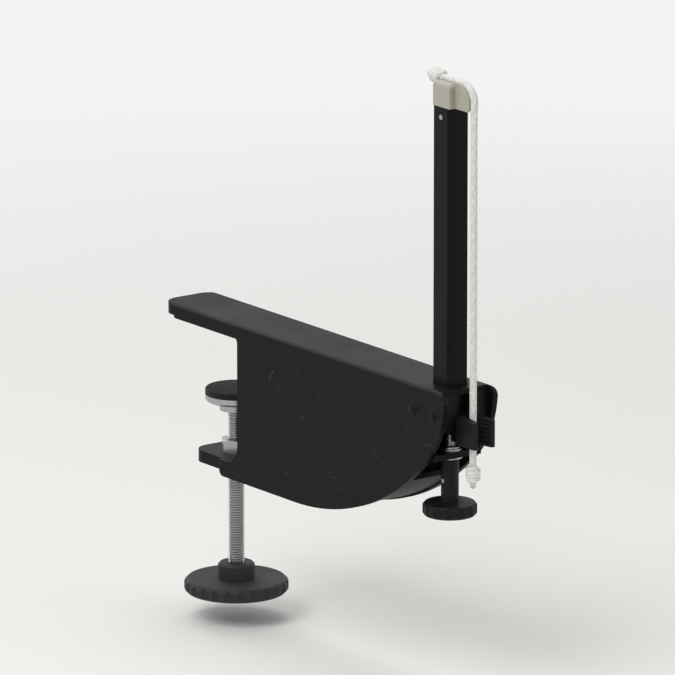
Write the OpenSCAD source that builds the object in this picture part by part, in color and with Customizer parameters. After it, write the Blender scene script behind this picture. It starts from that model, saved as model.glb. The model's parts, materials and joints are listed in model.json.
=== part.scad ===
// Table tennis net clamp: a pressed steel C-clamp that carries a slotted net post.
// The origin lies on the upper gripping face, on the clamp screw's axis.
// +Z is up, +Y points over the table, -Y outboard, and X runs across the net.

/* [Table] */
// Thickness of the table top that is gripped at rest
table_t = 30; // [20:1:36]
// Distance from the table's edge in to the clamp screw
screw_inset = 20; // [17:1:24]

/* [Clamp body] */
// Width over the two cheeks of the pressed channel
body_w = 32; // [28:1:40]
// Thickness of the pressed sheet
sheet_t = 2.5; // [2:0.25:3]
// Height of the channel's top over the gripping face
web_h = 8; // [7:0.5:10]
// Length of the tongue that lies on the table, from the table's edge
tongue_reach = 60; // [48:1:75]
// Corner radius of the tongue's nose, seen from above
nose_r = 9; // [6:0.5:12]
// Gap between the table's edge and the back of the throat
edge_gap = 3; // [2:0.5:5]
// Depth of the body below the gripping face
body_drop = 70; // [64:1:85]
// Distance from the table's edge out to where the belly starts to rise
belly_reach = 50; // [44:1:60]
// Radius of the belly's outboard curve
end_r = 52; // [46:1:58]
// Outer radius of the long pressed bends
bend_r = 3; // [2.5:0.5:4]
// Radius between the throat's back and the lower jaw
throat_r = 10; // [6:1:14]
// Length of the cheek lobes that hold the lower jaw, from the throat's back
jaw_ear = 15; // [12:1:18]
// Thickness of the strip that closes the belly
belly_t = 2; // [1.5:0.5:3]

/* [Jaws] */
// Depth by which the upper pad stands proud of the tongue's flanges
pad_proud = 2.5; // [1.5:0.5:3]
// Thickness of the lower jaw plate
jaw_t = 6; // [5:0.5:8]
// Reach of the lower jaw past the clamp screw's axis
jaw_nose = 18; // [15:1:24]
// Nominal diameter of the clamp screw
screw_d = 8; // [6:0.1:10]
// Diameter of the pressure plate and its pad
plate_d = 30; // [24:1:36]
// Thickness of the rubber pressure pad
pressure_pad_t = 3; // [2:0.5:4]
// Length of the clamp screw below the pressure plate
screw_l = 88; // [80:1:110]
// Diameter of the clamp knob
knob_d = 51; // [40:1:56]
// Height of the clamp knob's rim
knob_t = 6.5; // [5:0.5:9]
// Number of grip flutes round the clamp knob
knob_flutes = 24; // [12:2:30]

/* [Net post] */
// Distance from the table's edge out to the post's axis
post_reach = 152.5; // [130:0.5:185]
// Distance from the post's axis out to the end of the body
end_past = 16.5; // [15:0.5:20]
// Width of the square post
post_w = 12; // [10:0.1:14.5]
// Wall of the square post
post_wall = 1.5; // [1.25:0.25:2]
// Width of the slot that takes the net's edge
slot_w = 3; // [2.5:0.5:4]
// Height of the post tube's top over the gripping face
post_top = 143; // [120:1:180]
// Depth of the post tube's foot below the gripping face at mid adjustment
post_foot = 12; // [10:0.5:13]
// How far the post can be raised, or lowered, from its middle height
height_travel = 5; // [3:0.5:8]
// Free play each way between the post and its guide
guide_play = 0.2; // [0.1:0.05:0.3]

/* [Cord] */
// Diameter of the tension cord
cord_d = 3.5; // [3:0.25:4]
// Bend radius of the cord over the head, at its middle
lead_r = 9; // [8:0.5:10]
// Cord left over below the cleat
tail_l = 10; // [6:1:16]

/* [Height adjuster] */
// Nominal diameter of the adjusting spindle
spindle_d = 6; // [5:0.1:7.2]
// Thickness of the bridge plate
bridge_t = 3; // [2:0.5:4]
// Diameter of the adjusting knob
dial_d = 26; // [22:1:30]
// Height of the adjusting knob's rim
dial_t = 6; // [5:0.5:9]
// Length of the adjusting knob's neck
dial_neck = 22; // [16:1:24]
// Number of grip flutes round the adjusting knob
dial_flutes = 14; // [8:2:18]

/* [Hidden] */
$fn = 64;
eps = 0.01;
past = 5;             // how far a cutting tool runs past what it cuts

// clearances
run_gap = 0.05;       // radial, a shaft in its bore
face_gap = 0.1;       // between thrust faces that turn on each other
free_gap = 0.3;       // between pieces that pass each other
groove_gap = 0.05;    // radial, a clip in its groove

// the body's own places along Y and Z
inner_w = body_w - 2 * sheet_t;
web_z = web_h - sheet_t;
edge_y = -screw_inset;
nose_y = edge_y + tongue_reach;
throat_y = edge_y - edge_gap;
belly_y = edge_y - belly_reach;
post_y = edge_y - post_reach;
end_y = post_y - end_past;
belly_z = -body_drop;
ear_r = 6;                                   // rounded top corner of the outboard cheeks
tongue_fillet = 4;
// the belly is a quarter oval of two tangent arcs: end_r outboard and belly_r below
oval_a = belly_y - end_y;
oval_b = web_h + body_drop;
belly_r = (oval_a * oval_a + oval_b * oval_b - 2 * oval_a * end_r) / (2 * (oval_b - end_r));
belly_c = [belly_y, belly_z + belly_r];
end_c = [end_y + end_r, web_h];

// lower jaw and nut
jaw_lift = 2;                                // cheek edge below the jaw plate
jaw_z = belly_z + jaw_lift;
jaw_top = jaw_z + jaw_t;
jaw_tail = 10;                               // jaw plate outboard past the belly's start
jaw_end_y = belly_y + jaw_tail;
jaw_corner = 8;
belly_inset = 1;                             // weld groove between strip and cheek edge
nut_af = 1.625 * screw_d;
nut_h = 0.8 * screw_d;

// pressure plate and clamp screw
pad_z = -table_t;
plate_top = pad_z - pressure_pad_t;
plate_t = 3.5;
plate_hub_h = 4.5;
plate_hub_d = 2 * screw_d;
journal_d = screw_d - 2;
clip_t = 0.8;
clip_w = 2.5;                                // radial width of a retaining clip
plate_low = plate_top - plate_t;
hub_low = plate_low - plate_hub_h;
screw_top = hub_low - face_gap;
screw_low = screw_top - screw_l;
journal_top = plate_top - 0.6;
clip_z = plate_low + 0.2;
knob_bite = 3;                               // screw below the knob's upper rim
knob_hub_h = 8;
knob_hub_d = 2.25 * screw_d;
knob_rim_z = screw_low + knob_bite;
knob_low = knob_rim_z - knob_t;
knob_dish = 2.5;
knob_ribs = 6;
knob_rib_t = 2;
flute_r = 2;
flute_bite = 1;                              // depth of a grip flute
insert_h = 6;
insert_z = knob_rim_z - 1;
insert_r = knob_hub_d / 2 - 1.5;

// post, guide and adjuster
post_in = post_w - 2 * post_wall;
arm_w = 8;                                   // the cleat's arm, which passes the guide's slot
guide_w = inner_w;
guide_out = post_w / 2 + 5;                  // guide's outboard face from the post's axis
guide_in = post_w / 2 + 6.5;                 // guide's inboard face from the post's axis
guide_low = -12;
guide_slot = arm_w + 2 * free_gap;
web_end_y = post_y - guide_out - 0.5;
rivet_d = 4;
rivet_head_d = 7;
rivet_head_h = 1.4;
rivet_grip = 3.5;                            // rivet shank inside the guide
rivet_z = -4;
rivet_y = [post_y - 8, post_y + 8];
foot_flange = 3;                             // the cleat's flange under the post
foot_low = -post_foot - foot_flange;
bridge_room = 4;                             // from the bridge up to the foot at its lowest
bridge_top = foot_low - height_travel - bridge_room;
bridge_low = bridge_top - bridge_t;
bridge_out = spindle_d / 2 + 3.5;
bridge_in = 23;
bridge_leg = 2.5;
strip_end_y = post_y + 15;
washer_t = 0.8;
washer_w = 3;                                // radial width of a thrust washer
nut_z = -4;
post_nut_h = 8;
spindle_spare = 15;                          // spindle over the nut at its highest
spindle_top = nut_z + post_nut_h + height_travel + spindle_spare;
washer_top_z = bridge_top + face_gap;
spindle_clip_z = washer_top_z + washer_t + face_gap / 2;
washer_low_z = bridge_low - face_gap - washer_t;
dial_top = washer_low_z - eps;
dial_rim_z = dial_top - dial_neck;
dial_neck_d = spindle_d + 2.5;
dial_bite = 5;                               // spindle below the dial's upper rim
pin_d = 2;
adjust_pin_z = dial_top - dial_neck / 2;

// head and cord
plug_h = 10;
head_pin_z = post_top - 5;
head_pin_d = 2.5;
cord_out = post_w / 2 + 12;                  // the cord's fall, outboard of the post's axis
cord_r = cord_d / 2;
fall_y = post_y - cord_out;
lead_c = [fall_y + lead_r, post_top + 3.5];  // centre of the head's lead-over curve
cord_z = lead_c[1] + lead_r;
groove_r = cord_r + 0.15;
flange_r = lead_r - 0.6;
head_top = lead_c[1] + flange_r;
head_in_y = post_y + post_w / 2;
head_out_y = post_y - post_w / 2 - 1;
head_round = 2.5;
nose_w = cord_d + 2.2;                       // the lead-over nose, a wall each side of its groove

// jam cleat under the post: the cord is pulled inboard into its toothed V
arm_top = 7 - post_foot;
arm_in_y = post_y - post_w / 2;
fork_y = post_y - guide_out - 1;             // the fork starts clear of the guide
fork_w = post_w + 1;
fork_tip_y = fall_y - 9.5;
fork_low = foot_low - 3;
fork_round = 1.5;
vee_root = 0.9;                              // half the V's width at its root
vee_y = fork_y - vee_root;
// slope of the V's walls, which lie cord_gap off the cord
cord_gap = 0.1;
vee_d = vee_y - fall_y;
vee_r = cord_r + cord_gap;
vee_slope = (sqrt(pow(vee_root * vee_d, 2)
    + (vee_d * vee_d - vee_r * vee_r) * (vee_r * vee_r - vee_root * vee_root))
    - vee_root * vee_d) / (vee_d * vee_d - vee_r * vee_r);
vee_mouth = vee_root + vee_slope * (vee_y - fork_tip_y);
vee_lead = 0.6;                              // chamfer at the V's mouth
tooth_pitch = 2;
tooth_deep = 0.6;

// knots: wraps of the cord round itself, pressed a little into each other
knot_wraps = 3;
knot_wrap_r = 1.5;
knot_ring_r = 2.2;
knot_pitch = 1.8 * knot_wrap_r;
knot_l = (knot_wraps - 1) * knot_pitch + 2 * knot_wrap_r;
knot_y = head_in_y + 0.2;                    // the upper knot bears on the head
tail_z = fork_low - tail_l;

// ---------------------------------------------------------------- small shapes

module from_side(w) rotate([90, 0, 90]) linear_extrude(w, center = true) children();

module along_y(y0, y1) translate([0, y1, 0]) rotate([90, 0, 0]) linear_extrude(y1 - y0) children();

module rounded_square(w, h, r) {
    square([w - 2 * r, h], center = true);
    square([w, h - 2 * r], center = true);
    for (sx = [-1, 1], sy = [-1, 1])
        translate([sx * (w / 2 - r), sy * (h / 2 - r)]) circle(r);
}

// fills the corner at the origin, leaving an arc of radius r
module corner_fill(r) {
    difference() {
        square(r);
        translate([r, r]) circle(r);
    }
}

// what is cut off to round an outer corner at the origin that points to -x, +y
module corner_trim(r) {
    difference() {
        translate([-eps, -r]) square(r + eps);
        translate([r, -r]) circle(r);
    }
}

module ring(r_out, r_in, h) {
    difference() {
        cylinder(h = h, r = r_out);
        translate([0, 0, -past]) cylinder(h = h + 2 * past, r = r_in);
    }
}

// open retaining clip for a groove of radius r
module clip(r, t) {
    mouth = 1.3 * r;
    difference() {
        ring(r + clip_w, r + groove_gap, t);
        translate([0, -mouth / 2, -past]) cube([r + clip_w + past, mouth, t + 2 * past]);
    }
}

module flutes(count, d, h) {
    for (i = [0 : count - 1])
        rotate(i * 360 / count)
            translate([d / 2 + flute_r - flute_bite, 0, -past])
                cylinder(h = h + 2 * past, r = flute_r, $fn = 32);
}

// ---------------------------------------------------------------- clamp body

// quarter oval of the belly, with both arcs drawn in by inset
module belly_oval(inset) {
    far = 2 * belly_r;
    dir = (end_c - belly_c) / norm(end_c - belly_c);
    intersection() {
        translate([end_y - past, belly_z - past])
            square([oval_a + past + eps, oval_b + past]);
        union() {
            translate(end_c) circle(end_r - inset, $fn = 180);
            intersection() {
                translate(belly_c) circle(belly_r - inset, $fn = 360);
                polygon([[belly_y + eps, web_h], end_c, end_c + dir * far, [belly_y + eps, -far]]);
            }
        }
    }
}

module side_outline() {
    difference() {
        union() {
            translate([throat_y - eps, pad_proud])
                square([nose_y - throat_y + eps, web_h - pad_proud]);
            translate([belly_y, belly_z]) square([throat_y - belly_y, oval_b]);
            translate([throat_y - eps, belly_z]) square([jaw_ear, jaw_lift + jaw_t]);
            translate([throat_y, jaw_top]) corner_fill(throat_r);
            translate([throat_y, pad_proud]) mirror([0, 1]) corner_fill(tongue_fillet);
            belly_oval(0);
        }
        translate([end_y, web_h]) corner_trim(ear_r);
        translate([throat_y + jaw_ear, belly_z]) rotate(180) corner_trim(jaw_lift + 1);
    }
}

module channel_section(w, top, r) {
    translate([0, (top + belly_z - past) / 2])
        square([w, top - belly_z + past - 2 * r], center = true);
    translate([-w / 2 + r, belly_z - past]) square([w - 2 * r, top - belly_z + past]);
    translate([-w / 2, belly_z - past]) square([w, top - belly_z + past - r]);
    for (s = [-1, 1]) translate([s * (w / 2 - r), top - r]) circle(r);
}

module tongue_plan(w, y1, r) {
    y0 = end_y - past;
    translate([-w / 2, y0]) square([w, y1 - r - y0]);
    translate([-w / 2 + r, y0]) square([w - 2 * r, y1 - y0]);
    for (s = [-1, 1]) translate([s * (w / 2 - r), y1 - r]) circle(r);
}

module clamp_body() color("#1b1b1c") {
    high = oval_b + 2 * past;
    difference() {
        intersection() {
            from_side(body_w) side_outline();
            along_y(end_y - past, nose_y + past) channel_section(body_w, web_h, bend_r);
            translate([0, 0, belly_z - past]) linear_extrude(high) tongue_plan(body_w, nose_y, nose_r);
        }
        // hollow of the channel, open below
        translate([0, 0, belly_z - past])
            linear_extrude(web_z - belly_z + past)
                tongue_plan(inner_w, nose_y - sheet_t, nose_r - sheet_t);
        // open outboard end between the two cheeks
        translate([-inner_w / 2, end_y - past, belly_z])
            cube([inner_w, web_end_y - end_y + past, oval_b + past]);
        // window for the post
        translate([0, post_y, web_z - past])
            linear_extrude(sheet_t + 2 * past)
                rounded_square(post_w + 2 * free_gap, post_w + 2 * free_gap, 1);
        rivet_places() cylinder(h = body_w, r = rivet_d / 2, center = true);
    }
}

// the rivets' axes, along X
module rivet_places() {
    for (y = rivet_y) translate([0, y, rivet_z]) rotate([0, 90, 0]) children();
}

module throat_plate() color("#1b1b1c")
    translate([-inner_w / 2, throat_y - sheet_t, jaw_top])
        cube([inner_w, sheet_t, web_z - jaw_top]);

module belly_strip() color("#1b1b1c")
    from_side(inner_w)
        intersection() {
            difference() {
                strip_band(belly_inset);
                strip_band(belly_inset + belly_t);
            }
            translate([strip_end_y, belly_z - past])
                square([jaw_end_y - strip_end_y, body_drop]);
        }

// the belly's inside, run on flat to the lower jaw's outboard end
module strip_band(inset) {
    belly_oval(inset);
    translate([belly_y, belly_z + inset]) square([jaw_tail + past, oval_b]);
}

module lower_jaw() color("#1b1b1c")
    difference() {
        translate([0, 0, jaw_z])
            linear_extrude(jaw_t)
                intersection() {
                    tongue_plan(inner_w, jaw_nose, jaw_corner);
                    translate([-inner_w, jaw_end_y]) square([2 * inner_w, jaw_nose - jaw_end_y + past]);
                }
        translate([0, 0, jaw_z - past]) cylinder(h = jaw_t + 2 * past, r = screw_d / 2 + 0.5);
    }

module jaw_nut() color("silver")
    difference() {
        translate([0, 0, jaw_top]) intersection() {
            cylinder(h = nut_h, r = nut_af / sqrt(3), $fn = 6);
            cylinder(h = nut_h, r1 = nut_af / 2 + 2 * nut_h, r2 = nut_af / 2 + 0.4);
        }
        translate([0, 0, jaw_top - past]) cylinder(h = nut_h + 2 * past, r = screw_d / 2 + run_gap);
    }

module jaw_pad() color("#202022")
    intersection() {
        linear_extrude(web_z)
            tongue_plan(inner_w - free_gap, nose_y - sheet_t - free_gap / 2, nose_r - sheet_t);
        translate([-body_w / 2, edge_y - edge_gap, -past])
            cube([body_w, nose_y - edge_y + past, web_z + 2 * past]);
    }

// ---------------------------------------------------------------- guide and bridge

module post_guide() color("#232324")
    difference() {
        translate([-guide_w / 2, post_y - guide_out, guide_low])
            cube([guide_w, guide_out + guide_in, web_z - guide_low]);
        translate([0, post_y, guide_low - past])
            linear_extrude(web_z - guide_low + 2 * past)
                square(post_w + 2 * guide_play, center = true);
        // way out for the cleat's arm
        translate([-guide_slot / 2, post_y - guide_out - past, guide_low - past])
            cube([guide_slot, guide_out + past, web_z - guide_low + 2 * past]);
        // lightening pocket behind the post
        translate([-guide_w / 2 + rivet_grip + 1, post_y + post_w / 2 + 2, guide_low - past])
            cube([guide_w - 2 * rivet_grip - 2, guide_in - post_w / 2 - 4,
                web_z - guide_low - 2 + past]);
        rivet_places() for (s = [0, 180]) rotate([0, s, 0])
            translate([0, 0, inner_w / 2 - rivet_grip]) cylinder(h = rivet_grip + past, r = rivet_d / 2);
    }

module guide_rivets() color("#1b1b1c")
    rivet_places() for (s = [0, 180]) rotate([0, s, 0]) {
        translate([0, 0, inner_w / 2 - rivet_grip])
            cylinder(h = rivet_grip + sheet_t, r = rivet_d / 2);
        translate([0, 0, body_w / 2]) rivet_head();
    }

// low domed head: a cap of a sphere
module rivet_head() {
    r = (rivet_head_d * rivet_head_d / 4 + rivet_head_h * rivet_head_h) / (2 * rivet_head_h);
    rotate_extrude() intersection() {
        translate([0, rivet_head_h - r]) circle(r);
        square([rivet_head_d, rivet_head_h]);
    }
}

module spindle_bridge() color("#1b1b1c")
    difference() {
        from_side(inner_w) intersection() {
            union() {
                translate([post_y - bridge_out, bridge_low]) square([bridge_out + bridge_in, bridge_t]);
                translate([post_y + bridge_in - bridge_leg, belly_z])
                    square([bridge_leg, bridge_top - belly_z]);
            }
            strip_band_wide(belly_inset + belly_t);
        }
        translate([0, post_y, bridge_low - past])
            cylinder(h = bridge_t + 2 * past, r = spindle_d / 2 + run_gap);
    }

// the belly's inside, left open past the strip's end so that the bridge stands out there
module strip_band_wide(inset) {
    belly_oval(inset);
    translate([end_y, bridge_low - eps]) square([oval_a, bridge_t + 2 * eps]);
}

// ---------------------------------------------------------------- post

module post_tube() color("#161617")
    difference() {
        translate([0, post_y, -post_foot])
            linear_extrude(post_top + post_foot)
                difference() {
                    rounded_square(post_w, post_w, 1);
                    square(post_in, center = true);
                    translate([-slot_w / 2, 0]) square([slot_w, post_w]);
                }
        head_pin_axis() cylinder(h = 2 * post_w, r = head_pin_d / 2, center = true);
    }

module post_head() color("#b4b0a4")
    difference() {
        union() {
            intersection() {
                from_side(post_w) difference() {
                    translate([head_out_y, post_top]) square([head_in_y - head_out_y, head_top - post_top]);
                    translate([head_out_y, head_top]) corner_trim(head_round);
                }
                along_y(fall_y - past, head_in_y + past)
                    channel_section(post_w, head_top, head_round);
            }
            from_side(nose_w) {
                translate([lead_c[0], post_top]) square([post_y - lead_c[0], head_top - post_top]);
                intersection() {
                    translate(lead_c) circle(flange_r);
                    translate([lead_c[0] - flange_r, post_top]) square(2 * flange_r);
                }
            }
            translate([0, post_y, post_top - plug_h])
                linear_extrude(plug_h + eps) square(post_in, center = true);
        }
        // groove over the head, and down the nose
        translate([0, lead_c[0], lead_c[1]]) rotate([0, 90, 0]) rotate([0, 0, 180])
            rotate_extrude(angle = 120) translate([lead_r, 0]) circle(groove_r, $fn = 32);
        translate([0, head_in_y + past, cord_z]) rotate([90, 0, 0])
            cylinder(h = head_in_y + past - lead_c[0], r = groove_r, $fn = 32);
        head_pin_axis() cylinder(h = 2 * post_w, r = head_pin_d / 2, center = true);
    }

module head_pin_axis() translate([0, post_y, head_pin_z]) rotate([0, 90, 0]) children();

module head_pin() color("silver")
    head_pin_axis() cylinder(h = post_w, r = head_pin_d / 2, center = true);

module post_nut() color("goldenrod")
    translate([0, post_y, nut_z]) difference() {
        translate([-post_in / 2, -post_in / 2, 0]) cube([post_in, post_in, post_nut_h]);
        translate([0, 0, -past]) cylinder(h = post_nut_h + 2 * past, r = spindle_d / 2 + run_gap);
    }

module cord_cleat() color("#1d1d1e")
    difference() {
        union() {
            // plug in the tube, and the flange that the tube stands on
            translate([0, post_y, -post_foot - eps])
                linear_extrude(nut_z + post_foot + eps) square(post_in, center = true);
            translate([0, post_y, foot_low])
                linear_extrude(foot_flange) rounded_square(post_w, post_w, 1);
            // arm, from the flange out through the guide's slot
            translate([-arm_w / 2, fork_y - eps, fork_low])
                cube([arm_w, arm_in_y - fork_y + eps, arm_top - fork_low]);
            translate([-arm_w / 2, arm_in_y - eps, foot_low]) cube([arm_w, 1, foot_flange]);
            // the two prongs of the fork
            translate([0, (fork_y + fork_tip_y) / 2, fork_low])
                linear_extrude(arm_top - fork_low)
                    rounded_square(fork_w, fork_y - fork_tip_y, fork_round);
        }
        translate([0, post_y, foot_low - past])
            cylinder(h = post_foot + foot_flange + 2 * past, r = spindle_d / 2 + free_gap);
        translate([0, 0, fork_low - past]) linear_extrude(arm_top - fork_low + 2 * past) vee_plan();
        vee_teeth();
    }

// the V between the prongs, open outboard
module vee_plan() {
    open_y = fork_tip_y - eps;
    translate([0, vee_y]) circle(vee_root, $fn = 32);
    polygon([[-vee_root, vee_y], [-vee_mouth, open_y], [vee_mouth, open_y], [vee_root, vee_y]]);
    polygon([
        [-vee_mouth - vee_lead, open_y], [0, open_y + vee_mouth + vee_lead], [vee_mouth + vee_lead, open_y]
    ]);
}

// grooves along both walls of the V, square to the cord
module vee_teeth()
    for (s = [0, 1], z = [fork_low + tooth_pitch : tooth_pitch : arm_top - tooth_pitch / 2])
        mirror([s, 0, 0]) translate([vee_root, vee_y, z]) rotate(atan(vee_slope) - 90)
            rotate([90, 0, 90]) linear_extrude(vee_y - fork_tip_y + past)
                polygon([[-eps, -tooth_deep], [tooth_deep, 0], [-eps, tooth_deep]]);

// ---------------------------------------------------------------- cord

// The cord's middle line: over the head, then straight down through the cleat to the lower knot.
fall_n = 20;
route = concat(
    [[0, knot_y, cord_z], [0, knot_y - cord_d, cord_z], [0, lead_c[0], cord_z]],
    [for (a = [15 : 15 : 75]) [0, lead_c[0] - lead_r * sin(a), lead_c[1] + lead_r * cos(a)]],
    [for (i = [0 : fall_n]) [0, fall_y, lead_c[1] + (tail_z - lead_c[1]) * i / fall_n]]
);

function unit(v) = v / norm(v);
function tangent(p, i) =
    unit(p[min(i + 1, len(p) - 1)] - p[max(i - 1, 0)]);
function square_to(n, t) = unit(n - (n * t) * t);

// one unbroken tube along the points p
module tube(p, r, sides) {
    last = len(p) - 1;
    n = [for (i = 0, v = [1, 0, 0]; i <= last; i = i + 1, v = i <= last ? square_to(v, tangent(p, i)) : v) v];
    points = [for (i = [0 : last], k = [0 : sides - 1])
        let (t = tangent(p, i), u = square_to(n[i], t), w = cross(t, u), a = k * 360 / sides)
            p[i] + r * (cos(a) * u + sin(a) * w)];
    skin = [for (i = [0 : last - 1], k = [0 : sides - 1])
        let (a = i * sides + k, b = i * sides + (k + 1) % sides)
            each [[a, a + sides, b], [b, a + sides, b + sides]]];
    caps = [[for (k = [0 : sides - 1]) k], [for (k = [sides - 1 : -1 : 0]) last * sides + k]];
    polyhedron(points, concat(skin, caps));
}

module tension_cord() color("#ebebe6") tube(route, cord_r, 12);

module knot()
    rotate_extrude() {
        square([knot_ring_r, knot_l]);
        for (i = [0 : knot_wraps - 1])
            translate([knot_ring_r, knot_wrap_r + i * knot_pitch]) circle(knot_wrap_r, $fn = 32);
    }

module cord_knots() color("#ebebe6") {
    translate([0, knot_y, cord_z]) rotate([-90, 0, 0]) knot();
    translate([0, fall_y, tail_z - knot_l]) knot();
}

// ---------------------------------------------------------------- height adjuster

module adjust_spindle() color("silver")
    translate([0, post_y, 0]) difference() {
        union() {
            translate([0, 0, dial_rim_z - dial_bite])
                cylinder(h = spindle_top - 1 - dial_rim_z + dial_bite, r = spindle_d / 2);
            translate([0, 0, spindle_top - 1])
                cylinder(h = 1, r1 = spindle_d / 2, r2 = spindle_d / 2 - 1);
        }
        translate([0, 0, spindle_clip_z]) ring(spindle_d, spindle_d / 2 - 0.6, clip_t);
        translate([0, 0, adjust_pin_z]) rotate([0, 90, 0])
            cylinder(h = dial_d, r = pin_d / 2, center = true);
    }

module spindle_clip() color("silver")
    translate([0, post_y, spindle_clip_z]) clip(spindle_d / 2 - 0.6, clip_t);

module thrust_washers() color("silver")
    for (z = [washer_top_z, washer_low_z])
        translate([0, post_y, z]) ring(spindle_d / 2 + washer_w, spindle_d / 2 + run_gap, washer_t);

module adjust_knob() color("#2b2b2c")
    translate([0, post_y, 0]) difference() {
        union() {
            translate([0, 0, dial_rim_z]) cylinder(h = dial_neck, r = dial_neck_d / 2);
            translate([0, 0, dial_rim_z - dial_t]) difference() {
                dial_rim();
                flutes(dial_flutes, dial_d, dial_t);
            }
        }
        translate([0, 0, dial_rim_z - dial_bite])
            cylinder(h = dial_neck + dial_bite + past, r = spindle_d / 2);
        translate([0, 0, adjust_pin_z]) rotate([0, 90, 0])
            cylinder(h = dial_d, r = pin_d / 2, center = true);
    }

// rim with bevelled edges
module dial_rim() {
    bevel = 1;
    cylinder(h = bevel, r1 = dial_d / 2 - bevel, r2 = dial_d / 2);
    translate([0, 0, bevel]) cylinder(h = dial_t - 2 * bevel, r = dial_d / 2);
    translate([0, 0, dial_t - bevel]) cylinder(h = bevel, r1 = dial_d / 2, r2 = dial_d / 2 - bevel);
}

module adjust_pin() color("silver")
    translate([0, post_y, adjust_pin_z]) rotate([0, 90, 0])
        cylinder(h = dial_neck_d, r = pin_d / 2, center = true);

// ---------------------------------------------------------------- clamp screw

module pressure_plate() color("silver")
    difference() {
        rotate_extrude() {
            translate([0, hub_low]) square([plate_hub_d / 2, plate_hub_h + eps]);
            translate([0, plate_low]) polygon([
                [0, 0], [plate_d / 2 - 1, 0], [plate_d / 2, 1], [plate_d / 2, plate_t], [0, plate_t]
            ]);
        }
        translate([0, 0, hub_low - past])
            cylinder(h = plate_hub_h + plate_t + 2 * past, r = journal_d / 2 + run_gap);
        translate([0, 0, plate_low])
            cylinder(h = plate_t + past, r = journal_d / 2 - 0.6 + clip_w + 0.6);
    }

module pressure_pad() color("#202022")
    translate([0, 0, plate_top]) {
        cylinder(h = pressure_pad_t - 0.5, r = plate_d / 2);
        translate([0, 0, pressure_pad_t - 0.5])
            cylinder(h = 0.5, r1 = plate_d / 2, r2 = plate_d / 2 - 0.5);
    }

module clamp_screw() color("silver")
    difference() {
        union() {
            translate([0, 0, screw_low]) cylinder(h = screw_l, r = screw_d / 2);
            translate([0, 0, screw_top - eps])
                cylinder(h = journal_top - screw_top + eps, r = journal_d / 2);
        }
        translate([0, 0, clip_z]) ring(journal_d, journal_d / 2 - 0.6, clip_t);
    }

module screw_clip() color("silver")
    translate([0, 0, clip_z]) clip(journal_d / 2 - 0.6, clip_t);

module clamp_knob() color("#3a3a3b")
    difference() {
        union() {
            difference() {
                rotate_extrude() polygon([
                    [0, knob_low], [knob_d / 2 - 1.5, knob_low], [knob_d / 2, knob_low + 1.5],
                    [knob_d / 2, knob_rim_z - 1.5], [knob_d / 2 - 1.5, knob_rim_z],
                    [knob_hub_d / 2, knob_rim_z], [knob_hub_d / 2, knob_rim_z + knob_hub_h - 1],
                    [knob_hub_d / 2 - 1, knob_rim_z + knob_hub_h], [0, knob_rim_z + knob_hub_h]
                ]);
                translate([0, 0, knob_low - past])
                    ring(knob_d / 2 - 4.5, knob_hub_d / 2, knob_dish + past);
                translate([0, 0, knob_low]) flutes(knob_flutes, knob_d, knob_t);
            }
            // ribs under the rim
            for (i = [0 : knob_ribs - 1]) rotate(i * 360 / knob_ribs)
                translate([knob_hub_d / 2 - 1, -knob_rib_t / 2, knob_low])
                    cube([knob_d / 2 - 4.5 - knob_hub_d / 2 + 2, knob_rib_t, knob_dish + 1]);
        }
        translate([0, 0, screw_low]) cylinder(h = knob_t + knob_hub_h + past, r = screw_d / 2);
        translate([0, 0, insert_z]) cylinder(h = insert_h, r = insert_r, $fn = 6);
    }

module knob_insert() color("goldenrod")
    translate([0, 0, insert_z]) difference() {
        cylinder(h = insert_h, r = insert_r, $fn = 6);
        translate([0, 0, -past]) cylinder(h = insert_h + 2 * past, r = screw_d / 2);
    }

// ---------------------------------------------------------------- parts

clamp_body();
throat_plate();
belly_strip();
lower_jaw();
jaw_nut();
jaw_pad();
post_guide();
guide_rivets();
spindle_bridge();
post_tube();
post_head();
head_pin();
post_nut();
cord_cleat();
tension_cord();
cord_knots();
adjust_spindle();
spindle_clip();
thrust_washers();
adjust_knob();
adjust_pin();
pressure_plate();
pressure_pad();
clamp_screw();
screw_clip();
clamp_knob();
knob_insert();
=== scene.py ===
import json
import math

import bmesh
import bpy
import numpy as np
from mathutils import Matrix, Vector


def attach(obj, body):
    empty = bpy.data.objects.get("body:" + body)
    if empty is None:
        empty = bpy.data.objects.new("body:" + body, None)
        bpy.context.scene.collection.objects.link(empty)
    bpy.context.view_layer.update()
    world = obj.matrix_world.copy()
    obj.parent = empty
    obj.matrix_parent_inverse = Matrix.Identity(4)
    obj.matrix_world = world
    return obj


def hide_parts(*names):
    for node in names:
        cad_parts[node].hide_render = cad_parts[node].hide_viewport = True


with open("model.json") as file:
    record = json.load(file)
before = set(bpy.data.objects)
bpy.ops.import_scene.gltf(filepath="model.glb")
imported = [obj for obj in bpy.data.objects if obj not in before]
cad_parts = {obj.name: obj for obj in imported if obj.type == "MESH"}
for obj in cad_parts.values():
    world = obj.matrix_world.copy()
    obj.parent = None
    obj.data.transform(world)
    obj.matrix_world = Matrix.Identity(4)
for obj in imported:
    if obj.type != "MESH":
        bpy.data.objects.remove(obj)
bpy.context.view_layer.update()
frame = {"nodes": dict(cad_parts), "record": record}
nodes = frame["nodes"]
MM = 0.001

# ------------------------------------------------------------------ camera

CENTRE_Y = -0.083       # metres; the camera looks here, and the floor is centred under it
LOOK_AT = Vector((0.0, CENTRE_Y, 0.012))
CAMERA_AZIMUTH = -36.5
CAMERA_ELEVATION = 14.4
CAMERA_AWAY = 5.03      # metres, as far off as a table is seen from
CAMERA_LENS = 560       # mm, on a 36 mm sensor
CAMERA_NEAR = 0.05      # metres
CAMERA_FAR = 60


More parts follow.
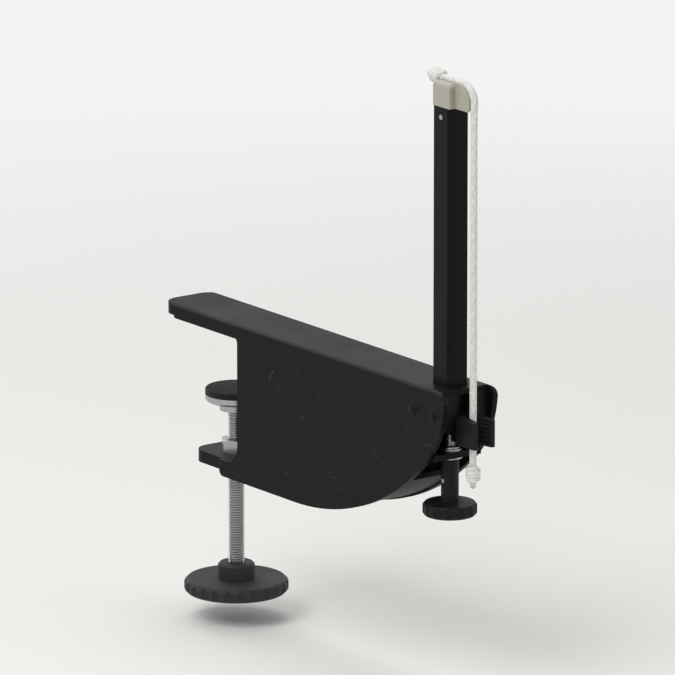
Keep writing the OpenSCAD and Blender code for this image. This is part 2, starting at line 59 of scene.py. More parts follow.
def direction(azimuth, elevation):
    """Unit vector from the clamp out to a place round it, in degrees as the views count them."""
    a, e = math.radians(azimuth), math.radians(elevation)
    return Vector((math.sin(a) * math.cos(e), -math.cos(a) * math.cos(e), math.sin(e)))


def stand(name, data, azimuth, elevation, away):
    """Stands a camera or a lamp round the clamp, so many metres off, turned to look at it."""
    out = direction(azimuth, elevation)
    item = bpy.data.objects.new(name, data)
    item.location = LOOK_AT + out * away
    item.rotation_mode = "QUATERNION"
    item.rotation_quaternion = (-out).to_track_quat("-Z", "Y")
    bpy.context.scene.collection.objects.link(item)
    return item


def place_camera():
    data = bpy.data.cameras.new("camera")
    data.lens = CAMERA_LENS
    data.clip_start = CAMERA_NEAR
    data.clip_end = CAMERA_FAR
    bpy.context.scene.camera = stand("camera", data, CAMERA_AZIMUTH, CAMERA_ELEVATION, CAMERA_AWAY)


place_camera()

# ------------------------------------------------------------------ meshes


def new_piece(name, points, faces, body, slot, tone_and_shade=None, crease=None):
    """A smooth mesh piece from points in mm, riding on a body, with the finish of its slot."""
    mesh = bpy.data.meshes.new(name)
    mesh.from_pydata((np.asarray(points, float) * MM).tolist(), [], faces)
    # the tone attribute carries a cord's random strand tone together with the painted shade between
    # its strands
    if tone_and_shade is not None:
        tone = mesh.attributes.new("tone", "FLOAT", "POINT")
        tone.data.foreach_set("value", np.asarray(tone_and_shade, np.float32))
    mesh.validate()
    mesh.shade_smooth()
    if crease:
        mesh.set_sharp_from_angle(angle=math.radians(crease))
    mesh.materials.append(FINISHES[slot])
    piece = bpy.data.objects.new(name, mesh)
    bpy.context.scene.collection.objects.link(piece)
    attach(piece, body)
    return piece


def tube_faces(rings, sides, first=0):
    """Quads between rings of points, with a flat cap at each end."""
    faces = []
    for i in range(rings - 1):
        for k in range(sides):
            a, b = first + i * sides + k, first + i * sides + (k + 1) % sides
            faces.append((a, b, b + sides, a + sides))
    faces.append(tuple(first + k for k in range(sides - 1, -1, -1)))
    faces.append(tuple(first + (rings - 1) * sides + k for k in range(sides)))
    return faces


def spaced(line, step):
    """The line again, with points about step apart, and how far along each lies."""
    line = np.asarray(line, float)
    along = np.concatenate([[0], np.cumsum(np.linalg.norm(np.diff(line, axis=0), axis=1))])
    at = np.linspace(0, along[-1], max(2, math.ceil(along[-1] / step) + 1))
    return np.stack([np.interp(at, along, line[:, k]) for k in range(3)], axis=1), at


def carried_frames(line):
    """Two directions square to the line at each point, carried along it without twist."""
    ahead = np.gradient(line, axis=0)
    ahead /= np.linalg.norm(ahead, axis=1)[:, None]
    # the first may be any but the line's own, so it comes from Z, or from X on an upright line
    side = np.cross(ahead[0], (0, 0, 1) if abs(ahead[0][2]) < 0.9 else (1, 0, 0))
    sides = []
    for t in ahead:
        side = side - (side @ t) * t
        side /= np.linalg.norm(side)
        sides.append(side)
    sides = np.array(sides)
    return sides, np.cross(ahead, sides)


def sweep(line, radius, sides):
    """Ring points of a tube along the line, with radius an array of rings by sides."""
    across, up = carried_frames(line)
    turn = np.arange(sides) * 2 * math.pi / sides
    out = (np.cos(turn)[None, :, None] * across[:, None, :]
           + np.sin(turn)[None, :, None] * up[:, None, :])
    return (line[:, None, :] + radius[:, :, None] * out).reshape(-1, 3)


# ------------------------------------------------------------------ finishes


def linear(hex_colour):
    """sRGB hex to linear RGBA."""
    value = [int(hex_colour[i:i + 2], 16) / 255 for i in (1, 3, 5)]
    return tuple(v / 12.92 if v <= 0.04045 else ((v + 0.055) / 1.055) ** 2.4 for v in value) + (1,)


def wire(made, item, inputs):
    """Sets a node's inputs: each is a number, a colour, a node (its first output) or an output."""
    for socket, value in inputs.items():
        if isinstance(value, bpy.types.Node):
            value = value.outputs[0]
        if isinstance(value, bpy.types.NodeSocket):
            made.node_tree.links.new(value, item.inputs[socket])
        else:
            item.inputs[socket].default_value = value


def add(made, kind, inputs, **settings):
    """Adds a node with its settings and inputs."""
    item = made.node_tree.nodes.new("ShaderNode" + kind)
    for name, value in settings.items():
        setattr(item, name, value)
    wire(made, item, inputs)
    return item


def new_material(name):
    """A material, its shader, and the piece's own place in metres."""
    made = bpy.data.materials.new(name)
    made.use_nodes = True
    place = add(made, "TexCoord", {}).outputs["Object"]
    return made, made.node_tree.nodes["Principled BSDF"], place


def per_mm(size):
    """Noise scale for lumps of a size in mm."""
    return 1 / (size * MM)


def mottled(made, place, size, detail, colours, roughness):
    """Clouds of a size in mm that shift the colour and the roughness, each between two values."""
    cloud = add(made, "TexNoise", {"Vector": place, "Scale": per_mm(size), "Detail": detail})
    colour = add(made, "Mix", {0: cloud, 6: linear(colours[0]), 7: linear(colours[1])},
                 data_type="RGBA").outputs[2]
    gloss = add(made, "MapRange", {"Value": cloud, "From Min": 0.3, "From Max": 0.7,
                                   "To Min": roughness[0], "To Max": roughness[1]})
    return colour, gloss


def grain(made, place, size, depth, detail=2.0, under=None):
    """A bump of lumps of a size and a depth in mm, over the bump under it if there is one."""
    lumps = add(made, "TexNoise", {"Vector": place, "Scale": per_mm(size), "Detail": detail})
    inputs = {"Height": lumps.outputs["Fac"], "Distance": depth * MM}
    if under is not None:
        inputs["Normal"] = under
    return add(made, "Bump", inputs)


def spark_pits(made, place, size, depth):
    """A bump like the skin from a spark-eroded mould, its pits of a size and a depth in mm."""
    pits = add(made, "TexVoronoi", {"Vector": place, "Scale": per_mm(size)}, feature="SMOOTH_F1")
    return add(made, "Bump", {"Height": pits.outputs["Distance"], "Distance": depth * MM})


def on_edges(made, radius, start, full, most=1.0):
    """Up to most on edges: where the normal, rounded over a radius in mm, turns from the true one.

    start and full are the cosines of that turn where it begins and where it is all there.
    """
    rounded = add(made, "Bevel", {"Radius": radius * MM}, samples=4)
    true = add(made, "NewGeometry", {}).outputs["Normal"]
    turned = add(made, "VectorMath", {0: rounded, 1: true}, operation="DOT_PRODUCT")
    return add(made, "MapRange", {"Value": turned.outputs["Value"],
                                  "From Min": start, "From Max": full, "To Max": most})


DRAG_STEP = 0.023       # the level lines lie twice this apart in the broad fields' values
DRAG_HALF = 0.00055     # and reach this far to each side, which is about 0.1 mm


def scratches(made, place):
    """Hairlines, nearly straight as the level lines of broad fields, that show here and there."""
    broad = add(made, "TexNoise", {"Vector": place, "Scale": per_mm(120), "Detail": 0.0})
    fields = add(made, "SeparateColor", {0: broad.outputs["Color"]})
    drags = []
    for channel in ("Red", "Green"):
        level = add(made, "Math", {0: fields.outputs[channel], 1: DRAG_STEP}, operation="PINGPONG")
        drags.append(add(made, "Math", {0: level, 1: DRAG_HALF}, operation="LESS_THAN"))
    lines = add(made, "Math", {0: drags[0], 1: drags[1]}, operation="MAXIMUM")
    small = add(made, "TexNoise", {"Vector": place, "Scale": per_mm(9), "Detail": 1.0})
    shown = add(made, "MapRange", {"Value": small, "From Min": 0.55, "From Max": 0.68,
                                   "To Max": 0.45})
    return add(made, "Math", {0: lines, 1: shown}, operation="MULTIPLY")


def powder_coated_steel():
    """Pressed steel under black powder coat: satin, with a faint orange peel over the slow waves of
    the pressing, thin on the edges, and here and there a fine scratch."""
    made, shader, place = new_material("powder_coated_steel")
    coat, gloss = mottled(made, place, 26, 3.0, ("#0c0c0d", "#131314"), (0.40, 0.47))
    chips = add(made, "TexNoise", {"Vector": place, "Scale": per_mm(2.2), "Detail": 4.0})
    rub = add(made, "MapRange", {"Value": chips, "From Min": 0.46, "From Max": 0.66})
    worn = add(made, "Math", {0: on_edges(made, 0.5, 0.985, 0.90), 1: rub}, operation="MULTIPLY")
    marks = add(made, "Math", {0: worn, 1: scratches(made, place)}, operation="MAXIMUM")
    colour = add(made, "Mix", {0: marks, 6: coat, 7: linear("#434345")}, data_type="RGBA")
    pressed = grain(made, place, 34, 0.7, detail=0.0)
    peel = grain(made, place, 1.3, 0.09, under=pressed)
    wire(made, shader, {"Base Color": colour.outputs[2], "Roughness": gloss, "Normal": peel,
                        "IOR": 1.5, "Specular IOR Level": 0.09})
    return made


RUB_TOP_Z = 17.0        # the guide rubs the post from here down, in mm
RUB_FULL_Z = 9.0        # and most from here down
DIE_LINES = (1, 1, 0.004)  # draws the lumps of a noise out to lines along the post


def anodised_aluminium():
    """Drawn square tube, dyed black in the anodising bath: fine die lines run along the post, and
    the guide has rubbed its foot a little brighter."""
    made, shader, place = new_material("anodised_aluminium")
    drawn = add(made, "VectorMath", {0: place, 1: DIE_LINES}, operation="MULTIPLY")
    lines = add(made, "TexNoise", {"Vector": drawn, "Scale": per_mm(0.5), "Detail": 3.0})
    dye = add(made, "Mix", {0: lines, 6: linear("#0b0b0c"), 7: linear("#151517")},
              data_type="RGBA")
    up = add(made, "SeparateXYZ", {0: place}).outputs["Z"]
    reach = add(made, "MapRange", {"Value": up, "From Min": RUB_TOP_Z * MM,
                                   "From Max": RUB_FULL_Z * MM, "To Max": 0.45})
    slid = add(made, "MapRange", {"Value": lines, "From Min": 0.45, "From Max": 0.65})
    rub = add(made, "Math", {0: reach, 1: slid}, operation="MULTIPLY")
    marks = add(made, "Math", {0: on_edges(made, 0.3, 0.99, 0.88, 0.6), 1: rub},
                operation="MAXIMUM")
    colour = add(made, "Mix", {0: marks, 6: dye.outputs[2], 7: linear("#3c3c40")},
                 data_type="RGBA")
    patches = add(made, "TexNoise", {"Vector": place, "Scale": per_mm(30), "Detail": 2.0})
    gloss = add(made, "MapRange", {"Value": patches, "From Min": 0.3, "From Max": 0.7,
                                   "To Min": 0.30, "To Max": 0.38})
    bump = add(made, "Bump", {"Height": lines.outputs["Fac"], "Distance": 0.012 * MM})
    wire(made, shader, {"Base Color": colour.outputs[2], "Roughness": gloss, "Normal": bump,
                        "Metallic": 0.3, "Specular IOR Level": 0.11})
    return made


def moulded_acetal():
    """Warm grey acetal, moulded: a low gloss, and light goes a little way into it."""
    made, shader, place = new_material("moulded_acetal")
    colour, gloss = mottled(made, place, 9, 2.0, ("#a39f92", "#b0ac9f"), (0.30, 0.40))
    wire(made, shader, {"Base Color": colour, "Roughness": gloss,
                        "Normal": grain(made, place, 0.6, 0.01), "IOR": 1.48,
                        "Subsurface Weight": 0.1, "Subsurface Radius": (1.0, 0.8, 0.5),
                        "Subsurface Scale": 1.2 * MM})
    return made


def braided_polyester():
    """White polyester cord: painted shade makes a strand lightest on its crown and darker in the
    gaps beside it, and cut ends are singed brown.

    The tone that the mesh carries, each strand's random tone with painted shade, is 0 between
    strands, 1 on a crown, and below 0 where melted.
    """
    made, shader, place = new_material("braided_polyester")
    tone = add(made, "Attribute", {}, attribute_name="tone").outputs["Fac"]
    # painted shade: the colour darkens from each crown to the gaps beside it, with each strand's
    # random tone on top
    lit = add(made, "MapRange", {"Value": tone, "From Min": 0.22, "From Max": 1.0})
    singe = add(made, "MapRange", {"Value": tone, "From Min": -0.4, "From Max": -1.5})
    # the darker colour is the painted shade in the gaps, the lighter one the painted highlight on a
    # crown
    strand = add(made, "Mix", {0: lit, 6: linear("#c2c2bb"), 7: linear("#f1f1ed")},
                 data_type="RGBA")
    colour = add(made, "Mix", {0: singe, 6: strand.outputs[2], 7: linear("#8c8266")},
                 data_type="RGBA")
    wire(made, shader, {"Base Color": colour.outputs[2], "Normal": grain(made, place, 0.3, 0.05),
                        "Roughness": 0.82, "Sheen Weight": 0.3, "Sheen Roughness": 0.5})
    return made


def zinc_plated_steel():
    """Turned steel with bright zinc: a clear metal with a faint cloudy passivate."""
    made, shader, place = new_material("zinc_plated_steel")
    colour, gloss = mottled(made, place, 5, 3.0, ("#989996", "#b4b7b9"), (0.26, 0.38))
    wire(made, shader, {"Base Color": colour, "Roughness": gloss,
                        "Normal": grain(made, place, 0.4, 0.006), "Metallic": 1.0})
    return made


def turned_brass():
    """Brass, turned and left bare, a little dull."""
    made, shader, place = new_material("turned_brass")
    colour, gloss = mottled(made, place, 3, 3.0, ("#a98648", "#c9a662"), (0.28, 0.42))
    wire(made, shader, {"Base Color": colour, "Roughness": gloss, "Metallic": 1.0})
    return made


RIB_PITCH = 2.0         # mm
BANDS_AT_ONE = 20 / (2 * math.pi)  # that a wave texture of scale 1 draws in a metre


def moulded_rubber():
    """Black rubber pad, moulded: matt, with fine ribs across the pull and a dusty bloom."""
    made, shader, place = new_material("moulded_rubber")
    colour, gloss = mottled(made, place, 6, 4.0, ("#111112", "#1b1b1c"), (0.68, 0.84))
    ribs = add(made, "TexWave", {"Vector": place, "Scale": 1 / (BANDS_AT_ONE * RIB_PITCH * MM)},
               bands_direction="Y")
    ribbed = add(made, "Bump", {"Height": ribs.outputs["Fac"], "Distance": 0.2 * MM})
    wire(made, shader, {"Base Color": colour, "Roughness": gloss,
                        "Normal": grain(made, place, 0.4, 0.04, under=ribbed),
                        "Specular IOR Level": 0.25})
    return made


def moulded_nylon():
    """Black nylon: satin, with the pits of a spark-eroded mould, drawn twice their 0.1 mm."""
    made, shader, place = new_material("moulded_nylon")
    colour, gloss = mottled(made, place, 8, 3.0, ("#0f0f10", "#171718"), (0.44, 0.54))
    wire(made, shader, {"Base Color": colour, "Roughness": gloss,
                        "Normal": spark_pits(made, place, 0.2, 0.03),
                        "IOR": 1.53, "Specular IOR Level": 0.15})
    return made


def moulded_abs():
    """Dark grey ABS: a matt spark texture, drawn coarse enough to show, polished by fingers on the
    flutes and the rim."""
    made, shader, place = new_material("moulded_abs")
    colour, matt = mottled(made, place, 12, 3.0, ("#252527", "#2e2e30"), (0.60, 0.70))
    gloss = add(made, "Math", {0: matt, 1: on_edges(made, 0.7, 0.985, 0.9, 0.16)},
                operation="SUBTRACT")
    wire(made, shader, {"Base Color": colour, "Roughness": gloss,
                        "Normal": spark_pits(made, place, 0.25, 0.04),
                        "IOR": 1.54, "Specular IOR Level": 0.25})
    return made


FINISHES = {
    "black_steel": powder_coated_steel(),
    "post_black": anodised_aluminium(),
    "head_grey": moulded_acetal(),
    "cord_white": braided_polyester(),
    "zinc_steel": zinc_plated_steel(),
    "brass": turned_brass(),
    "pad_rubber": moulded_rubber(),
    "nylon_black": moulded_nylon(),
    "knob_grey": moulded_abs(),
}

# how far the pressed, cut and moulded edges are rounded, in mm
EDGE_ROUNDS = {
    "clamp_body": 0.35, "throat_plate": 0.2, "belly_strip": 0.25, "lower_jaw": 0.45,
    "jaw_nut": 0.2, "jaw_pad": 0.4, "post_guide": 0.3, "spindle_bridge": 0.25,
    "post_tube": 0.15, "post_head": 0.35, "cord_cleat": 0.35, "adjust_knob": 0.25,
    "pressure_plate": 0.2, "clamp_knob": 0.3,
}
ROUND_ABOVE = 32        # degrees between faces
ROUND_STEPS = 2


def finish_cad_nodes():
    for part in frame["record"]["subparts"]:
        mesh = nodes[part["node"]].data
        mesh.materials.clear()
        mesh.materials.append(FINISHES[part["material_slot"]])
    for node, width in EDGE_ROUNDS.items():
        rounds = nodes[node].modifiers.new("edge_rounds", "BEVEL")
        rounds.width = width * MM
        rounds.segments = ROUND_STEPS
        rounds.limit_method = "ANGLE"
        rounds.angle_limit = math.radians(ROUND_ABOVE)
        rounds.harden_normals = True


finish_cad_nodes()

# ------------------------------------------------------------------ braided cord

CORD_R = 1.75
BRAID_SIDES = 40
STRANDS = 8             # strands laid each way round
PICK = 2.1              # mm along the cord from one strand to the next
STRAND_DEPTH = 0.26     # mm from a strand's crown to the gap beside it
FALL_ACROSS = 0.55      # how roundly a strand falls off to its sides, and to where it dives under
FALL_ALONG = 0.3
TONE_SWING = 0.16       # how much lighter or darker one strand is than another
TONE_TURNS = (2.4, 1.7)  # radians from strand to strand, so that no two neighbours match
UNEVEN = 0.012          # share by which the cord's thickness varies
UNEVEN_WAVES = (0.9, 0.23)  # radians per mm


def braid(along, radius, share):
    """Radius and tone of a tubular braid, strands laid both ways, over and under: the tone is each
    strand's random tone plus painted shade, darkest in the gaps between strands.
    """
    turn = np.arange(BRAID_SIDES) / BRAID_SIDES
    a = STRANDS * turn[None, :] + along[:, None] / PICK
    b = STRANDS * turn[None, :] - along[:, None] / PICK
    over = (np.floor(a) + np.floor(b)) % 2 == 0
    across_a, across_b = np.sin(math.pi * (a % 1)), np.sin(math.pi * (b % 1))
    crown = np.where(over, across_a ** FALL_ACROSS * across_b ** FALL_ALONG,
                     across_b ** FALL_ACROSS * across_a ** FALL_ALONG)
    tone = TONE_SWING * np.where(over, np.sin(np.floor(a) * TONE_TURNS[0]),
                                 np.cos(np.floor(b) * TONE_TURNS[1]))
    # the crown goes into the tone as painted light: a painted highlight on each strand's top,
    # painted shade in the gaps beside it
    return radius * share[:, None] - STRAND_DEPTH * (1 - crown), tone + crown


HEAD_FACE_Y = -166.3    # the upper knot bears here
OVER_Z = 155.5          # cord over the head
LEAD = (-181.5, 146.5)  # centre of the head's lead-over curve, along Y and Z
LEAD_R = 9.0
LEAD_STEP = 6           # degrees between points of the route on that curve
FALL_Y = -190.5
TAIL_Z = -28.0          # the lower knot hangs from here
CORD_STEP = 0.28        # mm between the rings of the drawn cord


def cord_route():
    """Middle line of the cord in mm: over the head, then straight down through the cleat."""
    line = [(0, HEAD_FACE_Y, OVER_Z), (0, LEAD[0], OVER_Z)]
    for a in np.radians(np.arange(LEAD_STEP, 90, LEAD_STEP)):
        line.append((0, LEAD[0] - LEAD_R * math.sin(a), LEAD[1] + LEAD_R * math.cos(a)))
    return line + [(0, FALL_Y, LEAD[1]), (0, FALL_Y, TAIL_Z)]


KNOT_STEP = 0.3         # mm between the rings of a drawn knot
KNOT_R = 2.2            # middle of the wraps
WRAP_R = 1.5            # the cord is drawn thin in the wraps
CORE_R = 1.6            # and where it runs through them
KNOT_WRAPS = 3
KNOT_L = 8.4
STUB_L = 3.2            # cut end past the knot
STUB_LEAN = 0.5         # mm that its tip leans to one side
TUCK = 110              # degrees over which a wrap's end turns in under the knot
TUCK_IN = 0.75          # share of the wraps' radius that it turns in by
TUCK_EASE = 1.5         # how slowly that turn begins
WRAP_STEP = 10.0        # degrees between points of the wraps
CORE_LOW = 0.2          # mm from where the knot bears to where the cord in it is drawn from
CORE_STEP = 0.4         # mm between points of that cord
MELT_L = 0.9            # mm of the cut end that the heat has closed
MELT_TIP = 0.02         # share of that which is left flat at the very tip
MELT_NECK = 0.1         # share by which the cord draws in towards its end
MELT_R = 0.93           # its thickness there, as a share of the cord's
MELT_TONE = -1.6        # singed


def knot_lines():
    """Middle lines of a barrel knot along +Z, in mm: its wraps, and the cord that they hold."""
    turn = np.radians(np.arange(-TUCK, KNOT_WRAPS * 360 + TUCK + 1, WRAP_STEP))
    inside = KNOT_WRAPS * 2 * math.pi
    tuck = np.clip(np.maximum(-turn, turn - inside) / math.radians(TUCK), 0, 1)
    ring = KNOT_R * (1 - TUCK_IN * tuck ** TUCK_EASE)
    rise = WRAP_R + (KNOT_L - 2 * WRAP_R) * np.clip(turn / inside, 0, 1)
    wraps = np.stack([ring * np.cos(turn), ring * np.sin(turn), rise], axis=1)
    core = np.array([(0, 0, z) for z in np.arange(CORE_LOW, KNOT_L + STUB_L, CORE_STEP)])
    core[:, 0] += STUB_LEAN * np.clip((core[:, 2] - KNOT_L) / STUB_L, 0, 1) ** 2
    return wraps, core


def sealed_braid(along, radius):
    """Braid whose far end is rounded off, and melted smooth and brown by heat."""
    left = along[-1] - along
    share = np.clip(left / MELT_L, MELT_TIP, 1) ** 0.5 * (1 - MELT_NECK * np.exp(-left))
    melted = np.exp(-(left / MELT_L) ** 2)[:, None]
    woven, tone = braid(along, radius, share)
    smooth = (radius * share)[:, None] * MELT_R
    return woven * (1 - melted) + smooth * melted, tone * (1 - melted) + MELT_TONE * melted


def knot(name, place, axis):
    """Barrel knot: wraps of the cord round itself, and the cut end, sealed by heat."""
    axis = Vector(axis)
    right = axis.orthogonal().normalized()
    up = axis.cross(right)
    points, faces, tone_and_shade = [], [], []
    for line, sealed in zip(knot_lines(), (False, True)):
        line, along = spaced(line, KNOT_STEP)
        world = (np.array(place) + line[:, :1] * np.array(right)
                 + line[:, 1:2] * np.array(up) + line[:, 2:] * np.array(axis))
        if sealed:
            radius, tone = sealed_braid(along, CORE_R)
        else:
            radius, tone = braid(along, WRAP_R, np.ones(len(along)))
        faces += tube_faces(len(along), BRAID_SIDES, sum(len(p) for p in points))
        points.append(sweep(world, radius, BRAID_SIDES))
        tone_and_shade.append(tone.ravel())
    return new_piece(name, np.concatenate(points), faces, "post", "cord_white",
                     tone_and_shade=np.concatenate(tone_and_shade))


def make_cord():
    line, along = spaced(cord_route(), CORD_STEP)
    wave, slow_wave = (np.sin(along * turn) for turn in UNEVEN_WAVES)
    radius, tone = braid(along, CORD_R, 1 + UNEVEN * wave * slow_wave)
    cord = new_piece("braided_cord", sweep(line, radius, BRAID_SIDES),
                     tube_faces(len(line), BRAID_SIDES), "post", "cord_white", tone_and_shade=tone.ravel())
    upper = knot("upper_knot", (0, HEAD_FACE_Y, OVER_Z), (0, 1, 0))
    lower = knot("lower_knot", (0, FALL_Y, TAIL_Z), (0, 0, -1))
    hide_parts("tension_cord")
    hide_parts("cord_knots")
    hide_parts("cord_knots")


make_cord()

# ------------------------------------------------------------------ screw threads

# share of the pitch, and share of the thread's depth, of a metric thread's four corners
THREAD_CORNERS = ((0.0, 0.0), (0.125, 0.0), (0.4375, 1.0), (0.6875, 1.0))
THREAD_DEPTH = 0.613    # of a metric screw, as a share of the pitch
THREAD_SIDES = 40
EARLY_TURNS = 2         # the helix starts before its low end, so that it is whole there
THREAD_CREASE = 30      # degrees between faces that meet in an edge
TOUCHING = 1e-4         # mm between points that are one


def threaded_rod(name, body, axis, radius, pitch, low, high, below, above):
    """A turned rod with a right-hand thread from low to high, in mm.

    below and above are the plain outline, (radius, z), outward from each end of the thread.
    """
    depth = THREAD_DEPTH * pitch
    core = radius - depth
    turn = np.arange(THREAD_SIDES + 1) * 2 * math.pi / THREAD_SIDES
    plain = np.ones(turn.shape)
    rows = [(r * plain, z * plain) for r, z in reversed(below)]
    # cut off at both ends, where the thread runs out at 45 degrees
    for t in range(-EARLY_TURNS, math.ceil((high - low) / pitch) + 1):
        for share, cut in THREAD_CORNERS:
            z = np.clip(low + (t + share + turn / (2 * math.pi)) * pitch, low, high)
            end = np.minimum(z - low, high - z)
            rows.append((np.minimum(radius - depth * cut, core + end), z))
    rows += [(r * plain, z * plain) for r, z in above]
    mesh = bmesh.new()
    cos, sin = np.cos(turn), np.sin(turn)
    grid = [[mesh.verts.new(p) for p in zip(axis[0] + r * cos, axis[1] + r * sin, z)]
            for r, z in rows]
    for lower, upper in zip(grid, grid[1:]):
        for k in range(THREAD_SIDES):
            mesh.faces.new((lower[k], lower[k + 1], upper[k + 1], upper[k]))
    bmesh.ops.remove_doubles(mesh, verts=mesh.verts, dist=TOUCHING)
    bmesh.ops.dissolve_degenerate(mesh, edges=mesh.edges, dist=TOUCHING)
    bmesh.ops.holes_fill(mesh, edges=[e for e in mesh.edges if e.is_boundary])
    bmesh.ops.recalc_face_normals(mesh, faces=mesh.faces)
    mesh.verts.ensure_lookup_table()
    points = [tuple(v.co) for v in mesh.verts]
    faces = [tuple(v.index for v in f.verts) for f in mesh.faces]
    mesh.free()
    return new_piece(name, points, faces, body, "zinc_steel", crease=THREAD_CREASE)


def make_screws():
    # M8 clamp screw: plain where the knob is moulded on, journal and clip groove at the top
    screw = threaded_rod(
        "threaded_clamp_screw", "screw", (0, 0), 4.0, 1.25, -126.0, -41.4,
        below=[(4.0, -126.2), (4.0, -128.6), (3.5, -129.1)],
        above=[(3.2, -41.1), (3.0, -41.1), (3.0, -36.3), (2.4, -36.3), (2.4, -35.5), (3.0, -35.5),
               (3.0, -33.9), (2.7, -33.6)])
    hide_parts("clamp_screw")
    # M6 adjusting spindle: plain in the knob, the washers and the bridge, with a clip groove
    spindle = threaded_rod(
        "threaded_spindle", "adjuster", (0, -172.5), 3.0, 1.0, -21.5, 24.0,
        below=[(3.0, -22.25), (2.4, -22.25), (2.4, -23.05), (3.0, -23.05), (3.0, -54.4),
               (2.5, -54.9)],
        above=[])
    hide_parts("adjust_spindle")


make_screws()

# ------------------------------------------------------------------ welds

BEAD_SIDES = 16
BEAD_STEP = 0.22        # mm between the rings of a bead
BEAD_TAPER = 1.3        # times its radius, over which a bead's end rises
BEAD_TIP = 0.05         # share of that rise at which it starts
RIPPLE = 0.9            # mm between the ripples of a bead
RIPPLE_DEPTH = 0.10     # share of its radius
WANDER = 0.12           # share of a ripple by which the ripples stray
WANDER_POINTS = 8


def weld_bead(line, r, seed):
    """Ring points of a rippled bead along a line in mm, low at both ends, and their rings."""
    line, along = spaced(line, BEAD_STEP)
    swing = np.random.default_rng(seed).uniform(-WANDER, WANDER, WANDER_POINTS)
    wander = np.interp(along, np.linspace(0, along[-1], WANDER_POINTS), swing)
    ends = np.clip(np.minimum(along, along[-1] - along) / (BEAD_TAPER * r), BEAD_TIP, 1) ** 0.5
    crest = 1 - RIPPLE_DEPTH * np.abs(np.sin(math.pi * (along / RIPPLE + wander)))
    radius = np.repeat((r * ends * crest)[:, None], BEAD_SIDES, axis=1)
    return sweep(line, radius, BEAD_SIDES), len(line)


def welds(name, beads, r):
    """One piece of several beads of a radius, each along a line in mm."""
    points, faces, count = [], [], 0
    for seed, line in enumerate(beads):
        ring_points, rings = weld_bead(line, r, seed)
        faces += tube_faces(rings, BEAD_SIDES, count)
        points.append(ring_points)
        count += len(ring_points)
    new_piece(name, np.concatenate(points), faces, "frame", "black_steel")


CORNER_X = 13.35        # inner corner between a cheek and what is welded to it, in mm
JAW_LOW_Z = -68.0
JAW_SEAMS = ((-66, -52), (-44, -30), (-20, -10))  # along Y, under the lower jaw
BELLY_C = (-70.0, 81.33)  # centre of the belly's long arc, along Y and Z
STRIP_R = 150.33        # radius of the belly strip's outside
BELLY_SEAMS = ((3, 9), (15, 21), (27, 33))  # degrees round that arc
BELLY_SEAM_POINTS = 9
BRIDGE_LOW_Z = -27.0
BRIDGE_SEAM = (-170, -158)
JAW_TOP_Z = -62.0
NUT_FLAT = 6.5          # from the screw's axis to a flat of the jaw nut
NUT_SEAM = (-2.4, 2.4)  # along X
JAW_BEAD, BELLY_BEAD, BRIDGE_BEAD, NUT_BEAD = 1.5, 0.95, 1.0, 1.0  # radii in mm


def make_welds():
    jaw, belly, bridge = [], [], []
    for x in (-CORNER_X, CORNER_X):
        jaw += [[(x, y, JAW_LOW_Z) for y in seam] for seam in JAW_SEAMS]
        for first, last in BELLY_SEAMS:
            arc = np.radians(np.linspace(first, last, BELLY_SEAM_POINTS))
            across, down = STRIP_R * np.sin(arc), STRIP_R * np.cos(arc)
            belly.append([(x, BELLY_C[0] - y, BELLY_C[1] - z) for y, z in zip(across, down)])
        bridge.append([(x, y, BRIDGE_LOW_Z) for y in BRIDGE_SEAM])
    nut = [[(x, y, JAW_TOP_Z) for x in NUT_SEAM] for y in (-NUT_FLAT, NUT_FLAT)]
    welds("jaw_welds", jaw, JAW_BEAD)
    welds("belly_welds", belly, BELLY_BEAD)
    welds("bridge_welds", bridge, BRIDGE_BEAD)
    welds("nut_welds", nut, NUT_BEAD)


make_welds()

# ------------------------------------------------------------------ studio

FLOOR_Z = -0.1466       # metres, just under the clamp knob when it is screwed right down
FLOOR_R = 2.6
FLOOR_SIDES = 96
FLOOR_FADE = (0.45, 1.3)  # metres from its centre where it begins to fade out, and is gone
FLOOR_PALE = "#f0efec"
AMBIENT = 0.42          # strength of the light from all round
BACKDROP = 0.9          # strength at which the backdrop is seen, where 1 is white


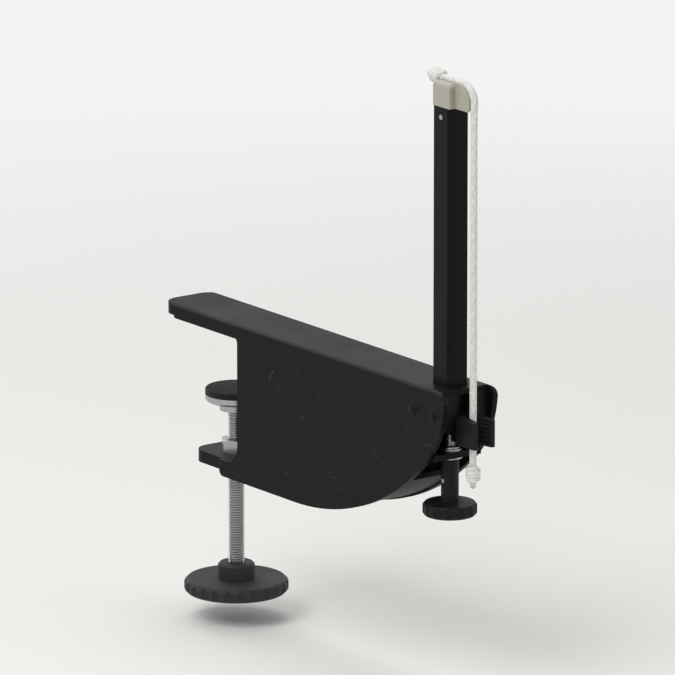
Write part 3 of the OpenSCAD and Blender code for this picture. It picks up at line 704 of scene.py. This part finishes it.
def make_floor():
    """A pale floor that keeps the shadow, fades into the backdrop, and is clear from below."""
    mesh = bpy.data.meshes.new("floor")
    turn = np.arange(FLOOR_SIDES) * 2 * math.pi / FLOOR_SIDES
    rim = [(FLOOR_R * math.cos(t), CENTRE_Y + FLOOR_R * math.sin(t), FLOOR_Z) for t in turn]
    mesh.from_pydata(rim, [], [tuple(range(FLOOR_SIDES))])
    floor = bpy.data.objects.new("floor", mesh)
    bpy.context.scene.collection.objects.link(floor)
    made, shader, place = new_material("studio_floor")
    out = add(made, "VectorMath", {0: place, 1: (0, CENTRE_Y, FLOOR_Z)}, operation="DISTANCE")
    fade = add(made, "MapRange", {"Value": out.outputs["Value"], "From Min": FLOOR_FADE[0],
                                  "From Max": FLOOR_FADE[1]}, interpolation_type="SMOOTHSTEP")
    below = add(made, "NewGeometry", {}).outputs["Backfacing"]
    gone = add(made, "Math", {0: fade, 1: below}, operation="MAXIMUM")
    clear = add(made, "BsdfTransparent", {})
    both = add(made, "MixShader", {0: gone, 1: shader, 2: clear})
    wire(made, shader, {"Base Color": linear(FLOOR_PALE), "Roughness": 0.9,
                        "Specular IOR Level": 0.1})
    wire(made, made.node_tree.nodes["Material Output"], {"Surface": both})
    mesh.materials.append(made)


def make_world():
    """Dim even light from all round, and a pale backdrop for what is seen or mirrored."""
    world = bpy.data.worlds.new("studio")
    world.use_nodes = True
    bpy.context.scene.world = world
    ray = add(world, "LightPath", {})
    mirrored = add(world, "Math", {0: ray.outputs["Is Glossy Ray"],
                                   1: ray.outputs["Is Transmission Ray"]}, operation="MAXIMUM")
    shown = add(world, "Math", {0: ray.outputs["Is Camera Ray"], 1: mirrored}, operation="MAXIMUM")
    strength = add(world, "MapRange", {"Value": shown, "To Min": AMBIENT, "To Max": BACKDROP})
    wire(world, world.node_tree.nodes["Background"], {"Color": linear("#ffffff"),
                                                      "Strength": strength})


# name, azimuth and elevation in degrees, distance and size in metres, watts
LAMPS = (
    ("key", -75, 48, 1.5, 0.9, 11.5),
    ("fill", 20, 25, 1.8, 1.2, 5.0),
    ("top", 150, 75, 1.4, 0.8, 4.0),
    ("back", 175, 30, 1.8, 1.0, 5.0),
)


def make_lamps():
    for name, azimuth, elevation, away, size, watts in LAMPS:
        data = bpy.data.lights.new(name, "AREA")
        data.size = size
        data.energy = watts
        stand(name, data, azimuth, elevation, away)


make_floor()
make_world()
make_lamps()
bpy.context.scene.view_settings.view_transform = "Standard"
